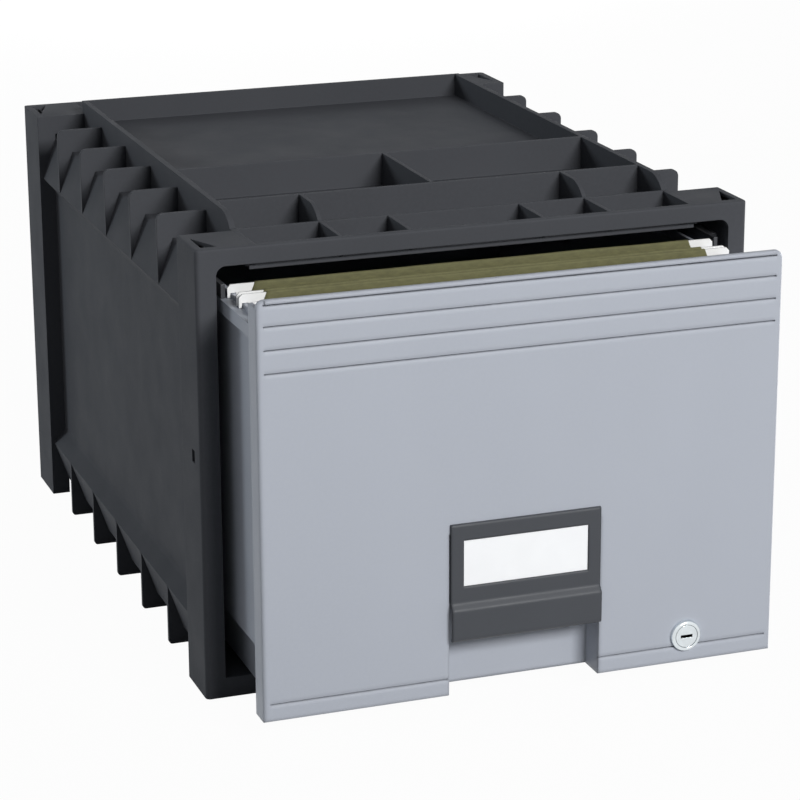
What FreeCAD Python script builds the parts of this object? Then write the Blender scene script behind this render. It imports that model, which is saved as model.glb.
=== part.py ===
"""Stackable desktop file drawer: a moulded case with side fins and a stacking rim, a lockable
drawer that slides in it, and the hanging folders that the drawer carries.

Millimetres. X is to the right, Y to the back, Z up. The origin is on the floor at the middle
of the case's front edge. Each sub-part is drawn from the front face of the assembly it belongs
to (the case or the drawer), and its Placement carries it to its place at rest.
"""
import FreeCAD, Part
import math
import os
import re
import Sketcher

Vector = FreeCAD.Vector

SIZES = {
    # case envelope
    "case_width": 360, "case_depth": 457, "case_height": 286, "wall": 2.5,
    # front frame
    "face_thickness": 4.5, "post_width": 12.5, "lintel_height": 11, "sill_height": 13,
    "opening_radius": 6, "frame_depth": 40, "rear_depth": 45, "edge_radius": 3,
    "latch_slot_up": 154, "latch_slot_back": 15.5, "latch_slot_height": 8, "latch_slot_length": 6,
    # stacking rim on top, and the recess under the base that takes it
    "rim_inset": 34.5, "rim_rise": 8.5, "rim_wall": 3.75, "rim_play": 1.5,
    "rim_front": 82, "rim_rear_inset": 39, "first_wall_back": 45, "third_wall_back": 178,
    "deck_drop": 16, "channel_drop": 13, "rib_thickness": 2.5, "rib_middle": 43.5, "rib_outer": 88,
    # side bands, pockets and fins
    "pocket_depth": 12.5, "shoulder_drop": 16, "top_band": 45, "bottom_band": 40,
    "panel_recess": 11, "ledge_height": 10, "fin_inset": 2.5, "fin_thickness": 3,
    "first_fin": 96, "last_fin_inset": 96.6, "fin_count": 5, "fin_radius": 4.5, "soft_radius": 6,
    # drawer
    "rest_opening": 77, "front_gap": 1, "front_thickness": 3, "front_rim_depth": 16,
    "front_top_gap": 1.3, "front_sill_gap": 1, "front_corner": 1.6,
    "lip_height": 2.5, "lip_proud": 1, "groove_drop": 16.4, "groove_step": 14.1,
    "groove_width": 1.1, "groove_depth": 1.7, "groove_margin": 4, "groove_count": 3,
    "low_groove_up": 10.6, "rear_play": 17, "drawer_wall": 2.2, "side_gap": 8.3,
    "flange_drop": 21.5, "flange_height": 8.5, "rail_inset": 3.7, "rail_up": 3,
    "rail_thickness": 2.5, "step_up": 48, "step_width": 6.8, "floor_gap": 3,
    "back_drop": 14, "back_slope": 12, "glide_gap": 0.4, "seat_gap": 0.3, "fit_gap": 0.2,
    "floor_rib_margin": 20, "floor_rib_first": 90, "floor_rib_pitch": 85, "floor_rib_count": 4,
    "floor_rib_height": 1.5,
    # rails and runners inside the case
    "guide_height": 8.5, "guide_gap": 1.3, "guide_start": 6, "runner_gap": 2.2,
    "runner_upstand": 22, "runner_thickness": 2.4, "runner_end_gap": 3,
    # pull recess, label handle, label card and their screws
    "recess_half_width": 49.2, "recess_depth": 23, "recess_top": 118, "handle_half_width": 48.6,
    "handle_top": 124.4, "handle_bend": 74, "handle_bottom": 50, "handle_proud": 2,
    "handle_lip": 3, "handle_wall": 2.2, "handle_curl": 2.6, "ear_depth": 14, "ear_top": 112,
    "label_half_width": 40.5, "label_low": 84.5, "label_high": 114, "label_recess": 1.2,
    "card_thickness": 0.4, "screw_radius": 1.6, "screw_head": 2, "screw_back": 8, "screw_up": 95,
    # cam lock
    "lock_inset": 58.8, "lock_up": 32, "lock_face_radius": 9.9, "lock_face": 3,
    "lock_body_radius": 8.6, "lock_body_length": 22, "plug_radius": 6.2, "plug_gap": 0.3,
    "plug_rim": 1, "key_width": 8, "key_height": 2, "key_depth": 5, "nut_half_width": 11,
    "nut_thickness": 3, "cam_width": 9, "cam_reach": 18.5, "cam_thickness": 2, "cam_hub": 6.5,
    "cam_square": 3.5, "cam_slot_near": 6.5, "cam_slot_far": 13.5, "cam_notch_far": 20,
    "cam_slot_gap": 2.5, "cam_seat": 8, "stem_radius": 2, "screw_head_radius": 5.2,
    # hanging folders
    "folder_first": 40, "folder_step": 24, "fold_width": 19, "folder_gap": 6.5,
    "folder_up": 6.3, "folder_clear": 14.8, "folder_sheet": 0.8, "folder_hem": 18,
    "folder_fold": 4, "folder_notch": 7, "hanger_thickness": 1.2, "hanger_height": 5,
    "hanger_count": 2, "hook_wall": 2, "hook_drop": 4.5, "hook_play": 0.6,
    "paper_inset": 9.3, "paper_drop": 15.2, "paper_thickness": 6,
}

doc = FreeCAD.newDocument("FileDrawer")
sheet = doc.addObject("Spreadsheet::Sheet", "Sizes")
for row, (name, number) in enumerate(SIZES.items(), start=1):
    sheet.set(f"A{row}", name)
    sheet.set(f"B{row}", str(number))
    sheet.setAlias(f"B{row}", name)
doc.recompute()

# Places that several sub-parts share, each worked out from the sizes.
CASE_HALF = "case_width / 2"
OPEN_HALF = "(case_width / 2 - post_width)"
OPEN_TOP = "(case_height - lintel_height)"
RIM_HALF = "(case_width / 2 - rim_inset)"
RIM_TOP = "(case_height + rim_rise)"
RIM_REAR = "(case_depth - rim_rear_inset)"
REAR_START = "(case_depth - rear_depth)"
REAR_FACE = "(case_depth - face_thickness)"
FLOOR_TOP = "sill_height"
FLOOR_LOW = "(sill_height - wall)"
SHOULDER = "(case_height - shoulder_drop)"
POCKET_HALF = "(case_width / 2 - pocket_depth)"
FIN_HALF = "(case_width / 2 - fin_inset)"
FIN_STEP = "(case_depth - first_fin - last_fin_inset) / (fin_count - 1)"
PANEL_HALF = "(case_width / 2 - panel_recess)"
TOP_EDGE = "(case_height - top_band)"
SKIRT_HALF = "(case_width / 2 - rim_inset + rim_play + wall)"
CHANNEL = "(case_height - channel_drop)"
DECK = "(case_height + rim_rise - deck_drop)"
FRONT_HALF = "(case_width / 2 - post_width - front_gap)"
FRONT_LOW = "(sill_height + front_sill_gap)"
FRONT_TOP = "(case_height - lintel_height - front_top_gap)"
FRONT_RADIUS = "(opening_radius - front_gap)"
DRAWER_LENGTH = "(case_depth - rear_play)"
DRAWER_FLOOR = "(sill_height + floor_gap)"
SIDE_HALF = "(case_width / 2 - post_width - side_gap)"
LOWER_HALF = "(case_width / 2 - post_width - side_gap - step_width)"
FLANGE_HALF = "(case_width / 2 - post_width - front_gap - front_thickness)"
FLANGE_TOP = "(case_height - lintel_height - flange_drop)"
RAIL_TOP = "(case_height - lintel_height - flange_drop + rail_up)"
RAIL_HALF = "(case_width / 2 - post_width - side_gap - rail_inset)"
RAIL_OUT = f"({RAIL_HALF} + rail_thickness / 2)"
RAIL_IN = f"({RAIL_HALF} - rail_thickness / 2)"
LOCK_OFFSET = f"({FRONT_HALF} - lock_inset)"
CAM_FRONT = "(lock_body_length + plug_gap)"
FOLDER_HALF = f"({RAIL_HALF} - folder_gap)"
FOLDER_TOP = f"({RAIL_TOP} + folder_up)"
FOLDER_LOW = f"({DRAWER_FLOOR} + folder_clear)"


def bind(text):
    """Point each size named in an expression at its cell of the spreadsheet."""
    return re.sub(r"[a-z_]+", lambda word: "Sizes." + word.group(0), text)


def value(text):
    """The number that an expression of sizes comes to."""
    return float(sheet.evalExpression(text))


def new_body(label, x="0", y="0", z="0"):
    """An empty body whose Placement follows the sizes."""
    body = doc.addObject("PartDesign::Body", label)
    body.Label = label
    for axis, text in zip("xyz", (x, y, z)):
        body.setExpression(f"Placement.Base.{axis}", bind(text))
    return body


def case_body(label):
    return new_body(label)


def drawer_body(label, x="0", y="0", z="0"):
    return new_body(label, x, f"{y} - rest_opening", z)


def new_sketch(body, name, plane, at):
    """A sketch on one of the body's planes, moved to where the third coordinate is `at`."""
    sketch = body.newObject("Sketcher::SketchObject", f"{body.Name}_{name}")
    support = next(item for item in body.Origin.OriginFeatures if item.Role == plane + "_Plane")
    sketch.AttachmentSupport = [(support, "")]
    sketch.MapMode = "FlatFace"
    sign = "-" if plane == "XZ" else ""
    sketch.setExpression("AttachmentOffset.Base.z", bind(f"{sign}({at})"))
    return sketch


def fix_point(sketch, geometry, end, across, up):
    """Hold one end (or centre) of a piece of geometry at a place given by the sizes."""
    for kind, text in (("DistanceX", across), ("DistanceY", up)):
        if text is None:
            continue
        index = sketch.addConstraint(
            Sketcher.Constraint(kind, -1, 1, geometry, end, value(text)))
        sketch.setExpression(f"Constraints[{index}]", bind(text))


def outline(sketch, points):
    """A closed outline. A point with a third item is the start of an arc about that centre."""
    places = [Vector(value(point[0]), value(point[1]), 0) for point in points]
    ends = []
    for number, point in enumerate(points):
        start, stop = places[number], places[(number + 1) % len(points)]
        if len(point) == 2:
            index = sketch.addGeometry(Part.LineSegment(start, stop))
            ends.append((index, 1, 2))
            continue
        centre = Vector(value(point[2][0]), value(point[2][1]), 0)
        turn = (start - centre).cross(stop - centre).z
        forward = turn > -1e-6
        first, last = (start, stop) if forward else (stop, start)
        circle = Part.Circle(centre, Vector(0, 0, 1), (start - centre).Length)
        arc = Part.ArcOfCircle(circle, circle.parameter(first), circle.parameter(last))
        index = sketch.addGeometry(arc)
        ends.append((index, 1, 2) if forward else (index, 2, 1))
    for number, (index, begin, finish) in enumerate(ends):
        following, next_begin, _ = ends[(number + 1) % len(ends)]
        sketch.addConstraint(
            Sketcher.Constraint("Coincident", index, finish, following, next_begin))
    for point, (index, begin, _) in zip(points, ends):
        fix_point(sketch, index, begin, point[0], point[1])
        if len(point) == 3:
            fix_point(sketch, index, 3, point[2][0], None)


def rectangle(sketch, left, right, low, high):
    outline(sketch, [(left, low), (right, low), (right, high), (left, high)])


def circle(sketch, across, up, radius):
    index = sketch.addGeometry(
        Part.Circle(Vector(value(across), value(up), 0), Vector(0, 0, 1), value(radius)))
    fix_point(sketch, index, 3, across, up)
    size = sketch.addConstraint(Sketcher.Constraint("Radius", index, value(radius)))
    sketch.setExpression(f"Constraints[{size}]", bind(radius))


def grow(body, sketch, length):
    """Pad a sketch towards the positive side of its plane."""
    pad = body.newObject("PartDesign::Pad", sketch.Name + "_pad")
    pad.Profile = sketch
    pad.setExpression("Length", bind(length))
    pad.Reversed = sketch.AttachmentSupport[0][0].Role == "XZ_Plane"
    sketch.Visibility = False
    return pad


def cut(body, sketch, length):
    """Pocket a sketch towards the positive side of its plane, and make sure that it cuts."""
    doc.recompute()
    before = body.Shape.Volume
    pocket = body.newObject("PartDesign::Pocket", sketch.Name + "_pocket")
    pocket.Profile = sketch
    pocket.setExpression("Length", bind(length))
    pocket.Reversed = sketch.AttachmentSupport[0][0].Role != "XZ_Plane"
    doc.recompute()
    if body.Shape.Volume > before - 1e-3:
        raise RuntimeError(f"{sketch.Name} cuts nothing")
    return pocket


def block(body, name, across, back, up):
    """A rectangular pad; each argument is a (low, high) pair."""
    sketch = new_sketch(body, name, "XY", up[0])
    rectangle(sketch, across[0], across[1], back[0], back[1])
    return grow(body, sketch, f"({up[1]}) - ({up[0]})")


def hollow(body, name, across, back, up):
    """A rectangular pocket; each argument is a (low, high) pair."""
    sketch = new_sketch(body, name, "XY", up[0])
    rectangle(sketch, across[0], across[1], back[0], back[1])
    return cut(body, sketch, f"({up[1]}) - ({up[0]})")


def repeat(body, feature, axis, step, count):
    """A linear pattern of one feature."""
    pattern = body.newObject("PartDesign::LinearPattern", feature.Name + "_row")
    pattern.Originals = [feature]
    line = next(item for item in body.Origin.OriginFeatures if item.Role == axis + "_Axis")
    pattern.Direction = (line, [""])
    pattern.Mode = "Spacing"
    pattern.setExpression("Offset", bind(step))
    pattern.setExpression("Occurrences", bind(count))
    body.Tip = pattern
    return pattern


def side(sign, text):
    """The same place on the right (+1) or the left (-1) of the middle."""
    return text if sign > 0 else f"-({text})"


def span(sign, inner, outer):
    """A (low, high) pair across, for a stretch given from the middle outwards."""
    return (inner, outer) if sign > 0 else (f"-({outer})", f"-({inner})")


def mirrored(sign, points):
    """An outline drawn for the right, moved to the given side."""
    return [(side(sign, point[0]), point[1])
            + tuple((side(sign, across), up) for across, up in point[2:]) for point in points]


def both_sides(points):
    """A closed outline that is symmetric across, from its right half taken bottom to top."""
    return points + mirrored(-1, points[::-1])


def round_edges(body, name, radius, wanted):
    """Round the edges for which wanted(middle point, direction) is true."""
    doc.recompute()
    tip = body.Tip
    names = []
    for number, edge in enumerate(tip.Shape.Edges, start=1):
        if not isinstance(edge.Curve, Part.Line):
            continue
        middle = edge.valueAt((edge.FirstParameter + edge.LastParameter) / 2)
        along = edge.tangentAt(edge.FirstParameter)
        if wanted(middle, along):
            names.append(f"Edge{number}")
    if not names:
        raise RuntimeError(f"{body.Label} {name}: no edge to round")
    fillet = body.newObject("PartDesign::Fillet", f"{body.Name}_{name}")
    fillet.Base = (tip, names)
    fillet.setExpression("Radius", bind(radius))
    return fillet


def near(number, text, slack=0.05):
    return abs(number - value(text)) < slack


# ---------------------------------------------------------------- case

def gusset_cut(body, name, sign, near_face, inward):
    """The three-cornered window in a post's top, between the face and the inner wall."""
    gusset = new_sketch(body, name, "XY", "case_height - wall")
    inner, outer = f"{OPEN_HALF} - wall", f"{CASE_HALF} - 2 * wall"
    outline(gusset, [(side(sign, outer), near_face), (side(sign, inner), near_face),
                     (side(sign, outer), inward)])
    return cut(body, gusset, "wall")


def front_frame():
    """The picture frame round the drawer: lintel, sill and two hollow posts."""
    body = case_body("front_frame")
    face = new_sketch(body, "face", "XZ", "0")
    rectangle(face, f"-{CASE_HALF}", CASE_HALF, "0", "case_height")
    left, right = f"-{OPEN_HALF}", OPEN_HALF
    radius = "opening_radius"
    outline(face, [
        (left, "sill_height"), (right, "sill_height"),
        (right, f"{OPEN_TOP} - {radius}", (f"{right} - {radius}", f"{OPEN_TOP} - {radius}")),
        (f"{right} - {radius}", OPEN_TOP),
        (f"{left} + {radius}", OPEN_TOP, (f"{left} + {radius}", f"{OPEN_TOP} - {radius}")),
        (left, f"{OPEN_TOP} - {radius}")])
    grow(body, face, "face_thickness")
    for sign, name in ((-1, "left"), (1, "right")):
        block(body, name + "_post", span(sign, OPEN_HALF, CASE_HALF),
              ("face_thickness", "frame_depth"), ("0", "case_height"))
        block(body, name + "_shelf", span(sign, RIM_HALF, OPEN_HALF),
              ("face_thickness", "frame_depth"), (CHANNEL, "case_height"))
        hollow(body, name + "_core", span(sign, f"{OPEN_HALF} + wall", f"{CASE_HALF} - wall"),
               ("face_thickness", "frame_depth - wall"), ("0", "case_height - wall"))
        hollow(body, name + "_shelf_core", span(sign, f"{RIM_HALF} + wall", OPEN_HALF),
               ("face_thickness", "frame_depth - wall"), (CHANNEL, "case_height - wall"))
        gusset_cut(body, name + "_gusset", sign, "face_thickness + wall / 2",
                   "frame_depth - 4 * wall")
        hollow(body, name + "_latch", span(sign, f"{CASE_HALF} - wall", CASE_HALF),
               ("latch_slot_back - latch_slot_length / 2", "latch_slot_back + latch_slot_length / 2"),
               ("latch_slot_up - latch_slot_height / 2", "latch_slot_up + latch_slot_height / 2"))
    block(body, "sill", (left, right), ("face_thickness", "frame_depth"), (FLOOR_LOW, FLOOR_TOP))
    hollow(body, "cam_slot", (f"{LOCK_OFFSET} - cam_slot_near", f"{LOCK_OFFSET} + cam_slot_far"),
           (f"{CAM_FRONT} - cam_slot_gap", f"{CAM_FRONT} + cam_thickness + cam_slot_gap"),
           (FLOOR_LOW, FLOOR_TOP))
    round_edges(body, "corners", "edge_radius", lambda middle, along: (
        abs(along.z) > 0.9 and near(middle.y, "0") and near(abs(middle.x), CASE_HALF)))
    round_edges(body, "top_edge", "edge_radius / 2", lambda middle, along: (
        abs(along.x) > 0.9 and near(middle.y, "0") and near(middle.z, "case_height")))
    return body


def side_panel(label, sign):
    """A side wall: a recessed panel between two bands that slope in to the roof and floor."""
    body = case_body(label)
    shell = new_sketch(body, "shell", "XZ", "frame_depth")
    outer = [
        (RIM_HALF, SHOULDER), (POCKET_HALF, SHOULDER), (FIN_HALF, TOP_EDGE),
        (PANEL_HALF, f"{TOP_EDGE} - ledge_height"), (PANEL_HALF, "bottom_band + ledge_height"),
        (FIN_HALF, "bottom_band"), (POCKET_HALF, FLOOR_LOW), (SKIRT_HALF, FLOOR_LOW)]
    inner = [(SKIRT_HALF, FLOOR_TOP), (f"{POCKET_HALF} - wall", FLOOR_TOP)]
    inner += [(f"{across} - wall", up) for across, up in outer[5:1:-1]]
    inner += [(f"{POCKET_HALF} - wall", f"{SHOULDER} - wall"),
              (RIM_HALF, f"{SHOULDER} - wall")]
    outline(shell, mirrored(sign, outer + inner))
    grow(body, shell, f"{REAR_START} - frame_depth")
    for name, up, radius in (("upper_ledge", f"{TOP_EDGE} - ledge_height", "soft_radius"),
                             ("lower_ledge", "bottom_band + ledge_height", "soft_radius"),
                             ("shoulder", SHOULDER, "soft_radius / 2")):
        round_edges(body, name, radius, lambda middle, along: (
            abs(along.y) > 0.9 and near(middle.z, up)
            and (near(abs(middle.x), PANEL_HALF) or near(abs(middle.x), POCKET_HALF))))
    return body


def side_fins(label, sign):
    """The rows of fins that bridge the pockets above and below a side wall."""
    body = case_body(label)
    fins = new_sketch(body, "fins", "XZ", "first_fin")
    for foot, shelf, edge, end, radius in (
            (RIM_HALF, SHOULDER, TOP_EDGE, "case_height", "fin_radius"),
            (SKIRT_HALF, FLOOR_LOW, "bottom_band", "0", "fin_radius / 2")):
        bend = f"{end} - {radius}" if end == "case_height" else radius
        corner = f"{FIN_HALF} - {radius}"
        outline(fins, mirrored(sign, [
            (foot, shelf), (POCKET_HALF, shelf), (FIN_HALF, edge), (FIN_HALF, bend, (corner, bend)),
            (corner, end), (foot, end)]))
    fin = grow(body, fins, "fin_thickness")
    repeat(body, fin, "Y", FIN_STEP, "fin_count")
    return body


def top_panel():
    """The roof: channels behind the lintel, cross walls with ribs, and the stacking rim."""
    body = case_body("top_panel")
    half, inner = RIM_HALF, f"({RIM_HALF} - rim_wall)"
    back_face = "third_wall_back"
    block(body, "front_floor", (f"-{half}", half), ("face_thickness", back_face),
          (f"{CHANNEL} - wall", CHANNEL))
    block(body, "deck", (f"-{half}", half), (f"{back_face} - wall", RIM_REAR),
          (f"{DECK} - wall", DECK))
    block(body, "rear_floor", (f"-{half}", half), (f"{RIM_REAR} - wall", REAR_FACE),
          (f"{CHANNEL} - wall", CHANNEL))
    for name, back, high in (("first_wall", "first_wall_back", "case_height"),
                             ("second_wall", "rim_front + wall", RIM_TOP),
                             ("third_wall", back_face, RIM_TOP),
                             ("rear_wall", RIM_REAR, RIM_TOP)):
        block(body, name, (f"-{half}", half), (f"{back} - wall", back),
              (f"{CHANNEL} - wall", high))
    for sign, name in ((-1, "left"), (1, "right")):
        rail = new_sketch(body, name + "_rim", "YZ", side(sign, half if sign < 0 else inner))
        drop = "(rim_front - first_wall_back)"
        outline(rail, [
            ("face_thickness", f"{CHANNEL} - wall"), (REAR_FACE, f"{CHANNEL} - wall"),
            (REAR_FACE, "case_height"), (RIM_REAR, "case_height"), (RIM_REAR, RIM_TOP),
            (f"first_wall_back + {drop} / 2", RIM_TOP,
             (f"first_wall_back + {drop} / 2",
              f"{RIM_TOP} - ({drop} * {drop} / 4 + rim_rise * rim_rise) / (2 * rim_rise)")),
            ("first_wall_back", "case_height"), ("face_thickness", "case_height")])
        grow(body, rail, "rim_wall")
    front_ribs = new_sketch(body, "front_ribs", "XY", CHANNEL)
    for middle in ("-rib_outer", "-rib_middle", "rib_middle", "rib_outer"):
        rectangle(front_ribs, f"{middle} - rib_thickness / 2", f"{middle} + rib_thickness / 2",
                  "face_thickness", "first_wall_back - wall")
    grow(body, front_ribs, "channel_drop")
    for sign, name in ((-1, "left"), (1, "right")):
        rib = new_sketch(body, name + "_rib", "YZ", f"{side(sign, 'rib_outer')} - rib_thickness / 2")
        reach = "(rim_front - first_wall_back)"
        outline(rib, [
            ("first_wall_back", CHANNEL), ("rim_front", CHANNEL), ("rim_front", RIM_TOP),
            (f"first_wall_back + {reach} / 2", RIM_TOP,
             (f"first_wall_back + {reach} / 2",
              f"{RIM_TOP} - ({reach} * {reach} / 4 + rim_rise * rim_rise) / (2 * rim_rise)")),
            ("first_wall_back", "case_height")])
        grow(body, rib, "rib_thickness")
    block(body, "centre_rib", ("-rib_thickness / 2", "rib_thickness / 2"),
          ("rim_front + wall", f"{back_face} - wall"), (CHANNEL, RIM_TOP))
    return body


def bottom_panel():
    """The floor, and the skirt under it that drops over the rim of the case below."""
    body = case_body("bottom_panel")
    half, inner = SKIRT_HALF, f"({RIM_HALF} + rim_play)"
    block(body, "floor", (f"-{half}", half), ("frame_depth", REAR_START), (FLOOR_LOW, FLOOR_TOP))
    for sign, name in ((-1, "left"), (1, "right")):
        block(body, name + "_skirt", span(sign, inner, half), ("frame_depth", REAR_START),
              ("0", FLOOR_LOW))
    block(body, "front_skirt", (f"-{half}", half),
          ("rim_front - rim_play - wall", "rim_front - rim_play"), ("0", FLOOR_LOW))
    return body


def back_panel():
    """The rear wall, its two hollow posts and the strip that closes the roof channel."""
    body = case_body("back_panel")
    block(body, "wall", (f"-{CASE_HALF}", CASE_HALF), (REAR_FACE, "case_depth"),
          ("0", "case_height"))
    for sign, name in ((-1, "left"), (1, "right")):
        block(body, name + "_post", span(sign, OPEN_HALF, CASE_HALF),
              (REAR_START, REAR_FACE), ("0", "case_height"))
        block(body, name + "_shelf", span(sign, RIM_HALF, OPEN_HALF),
              (REAR_START, REAR_FACE), (CHANNEL, "case_height"))
        hollow(body, name + "_core", span(sign, f"{OPEN_HALF} + wall", f"{CASE_HALF} - wall"),
               (f"{REAR_START} + wall", REAR_FACE), ("0", "case_height - wall"))
        hollow(body, name + "_shelf_core", span(sign, f"{RIM_HALF} + wall", OPEN_HALF),
               (f"{REAR_START} + wall", REAR_FACE),
               (CHANNEL, "case_height - wall"))
    block(body, "sill", (f"-{OPEN_HALF}", OPEN_HALF), (REAR_START, REAR_FACE),
          (FLOOR_LOW, FLOOR_TOP))
    skirt_end = f"({RIM_REAR} + rim_play + wall)"
    block(body, "rear_skirt", (f"-{SKIRT_HALF}", SKIRT_HALF), (f"{skirt_end} - wall", skirt_end),
          ("0", FLOOR_LOW))
    for sign, name in ((-1, "left"), (1, "right")):
        block(body, name + "_skirt", span(sign, f"{SKIRT_HALF} - wall", SKIRT_HALF),
              (REAR_START, f"{skirt_end} - wall"), ("0", FLOOR_LOW))
    for sign, name in ((-1, "left"), (1, "right")):
        gusset_cut(body, name + "_gusset", sign, f"{REAR_FACE} - wall / 2", f"{REAR_START} + 4 * wall")
    hollow(body, "back_field", (f"-{OPEN_HALF}", OPEN_HALF),
           ("case_depth - face_thickness / 2", "case_depth"), ("2 * sill_height", OPEN_TOP))
    round_edges(body, "corners", "edge_radius", lambda middle, along: (
        abs(along.z) > 0.9 and near(middle.y, "case_depth") and near(abs(middle.x), CASE_HALF)))
    return body


def upper_guide(label, sign):
    """The rail above the drawer's flange that keeps an open drawer from tipping."""
    body = case_body(label)
    low, high = f"({FLANGE_TOP} + glide_gap)", f"({FLANGE_TOP} + glide_gap + guide_height)"
    inner = f"({SIDE_HALF} + guide_gap)"
    slope = "(pocket_depth - fin_inset) / (top_band - shoulder_drop - wall)"
    on_wall = f"{FIN_HALF} - wall - ({{}} - {TOP_EDGE}) * {slope}"
    behind_front = "(front_rim_depth + glide_gap)"
    profile = new_sketch(body, "profile", "XZ", "frame_depth")
    outline(profile, mirrored(sign, [
        (inner, low), (on_wall.format(low), low),
        (on_wall.format(high), high), (inner, high)]))
    grow(body, profile, f"{REAR_START} - frame_depth - runner_end_gap")
    block(body, "front_stretch", span(sign, inner, OPEN_HALF),
          (behind_front, "frame_depth"), (low, high))
    block(body, "tongue", span(sign, inner, f"{FRONT_HALF} - front_thickness - glide_gap"),
          ("guide_start", behind_front), (low, high))
    return body


def lower_runner(label, sign):
    """The runner on the side wall that carries the step in the drawer's side."""
    body = case_body(label)
    top, thick = "(step_up - glide_gap)", "runner_thickness"
    inner, foot = f"({LOWER_HALF} + runner_gap)", f"{PANEL_HALF} - wall"
    profile = new_sketch(body, "profile", "XZ", "frame_depth + glide_gap")
    outline(profile, mirrored(sign, [
        (inner, f"{top} - 2 * {thick}"), (f"{inner} + {thick}", f"{top} - 2 * {thick}"),
        (f"{inner} + {thick}", f"{top} - {thick}"), (foot, f"{top} - {thick}"),
        (foot, f"{top} + runner_upstand"), (f"{foot} - {thick}", f"{top} + runner_upstand"),
        (f"{foot} - {thick}", top), (inner, top)]))
    grow(body, profile, f"{REAR_START} - frame_depth - 2 * glide_gap")
    return body


# ---------------------------------------------------------------- drawer

def drawer_front():
    """The drawer's face: a rimmed plate with grooves, a top lip and the pull recess."""
    body = drawer_body("drawer_front")
    half, thick = FRONT_HALF, "front_thickness"
    left = f"-{half}"
    shoulder, turn = f"{half} - {FRONT_RADIUS}", f"{FRONT_TOP} - {FRONT_RADIUS}"
    plate = new_sketch(body, "plate", "XZ", "0")
    outline(plate, [
        (left, FRONT_LOW), (half, FRONT_LOW), (half, turn, (shoulder, turn)), (shoulder, FRONT_TOP),
        (f"-({shoulder})", FRONT_TOP, (f"-({shoulder})", turn)), (left, turn)])
    grow(body, plate, thick)
    block(body, "bottom_rim", (left, half), (thick, "front_rim_depth"),
          (FRONT_LOW, f"{FRONT_LOW} + {thick}"))
    for sign, name in ((-1, "left"), (1, "right")):
        block(body, name + "_rim", span(sign, f"{half} - {thick}", half),
              (thick, "front_rim_depth"), (FRONT_LOW, turn))
    block(body, "recess_box", ("-recess_half_width - wall", "recess_half_width + wall"),
          (thick, "recess_depth"), (FRONT_LOW, "recess_top + wall"))
    hollow(body, "recess", ("-recess_half_width", "recess_half_width"),
           ("0", "recess_depth - wall"), (FRONT_LOW, "recess_top"))
    round_edges(body, "edge", "front_corner", lambda middle, along: (
        near(middle.y, "0") and (near(abs(middle.x), half) or near(middle.z, FRONT_LOW)
                                 or near(middle.z, FRONT_TOP))))
    block(body, "lip", (f"-({shoulder})", shoulder), ("-lip_proud", thick),
          (f"{FRONT_TOP} - lip_height", FRONT_TOP))
    round_edges(body, "lip_edge", "lip_proud * 0.9", lambda middle, along: (
        near(middle.y, "-lip_proud") and abs(along.x) > 0.9))
    long = (f"{left} + groove_margin", f"{half} - groove_margin")
    lowest = f"{FRONT_TOP} - groove_drop - (groove_count - 1) * groove_step"
    grooves = hollow(body, "grooves", long, ("0", "groove_depth"),
                     (lowest, f"{lowest} + groove_width"))
    repeat(body, grooves, "Z", "groove_step", "groove_count")
    for name, low in (("lip_groove", f"{FRONT_TOP} - lip_height - groove_width"),
                      ("low_groove", f"{FRONT_LOW} + low_groove_up")):
        hollow(body, name, long, ("0", "groove_depth"), (low, f"{low} + groove_width"))
    lock = new_sketch(body, "lock_hole", "XZ", "0")
    circle(lock, LOCK_OFFSET, "lock_up", "lock_body_radius + fit_gap")
    cut(body, lock, thick)
    screws = new_sketch(body, "screw_holes", "YZ", "-recess_half_width - wall")
    circle(screws, "screw_back", "screw_up", "screw_radius + fit_gap")
    cut(body, screws, "2 * (recess_half_width + wall)")
    return body


def drawer_side(label, sign):
    """A drawer side: flange, folder rail, wall, the step that rides the runner, and skirt."""
    body = drawer_body(label)
    inner = f"({SIDE_HALF} - drawer_wall)"
    skirt = f"({LOWER_HALF} - drawer_wall)"
    flange_foot = f"{FLANGE_TOP} - flange_height"
    profile = new_sketch(body, "profile", "XZ", "front_thickness")
    outline(profile, mirrored(sign, [
        (skirt, DRAWER_FLOOR), (LOWER_HALF, DRAWER_FLOOR), (LOWER_HALF, "step_up"),
        (SIDE_HALF, "step_up"), (SIDE_HALF, f"{FLANGE_TOP} - drawer_wall"),
        (f"{FLANGE_HALF} - drawer_wall", f"{FLANGE_TOP} - drawer_wall"),
        (f"{FLANGE_HALF} - drawer_wall", flange_foot), (FLANGE_HALF, flange_foot),
        (FLANGE_HALF, FLANGE_TOP), (RAIL_OUT, FLANGE_TOP), (RAIL_OUT, RAIL_TOP),
        (RAIL_IN, RAIL_TOP), (RAIL_IN, f"{FLANGE_TOP} - drawer_wall"),
        (inner, f"{FLANGE_TOP} - 2 * drawer_wall"), (inner, "step_up + drawer_wall"),
        (skirt, "step_up + drawer_wall")]))
    grow(body, profile, f"{DRAWER_LENGTH} - front_thickness")
    hollow(body, "front_clearance", span(sign, skirt, LOWER_HALF),
           ("front_thickness", "front_rim_depth"),
           (DRAWER_FLOOR, f"{FRONT_LOW} + front_thickness"))
    return body


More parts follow.
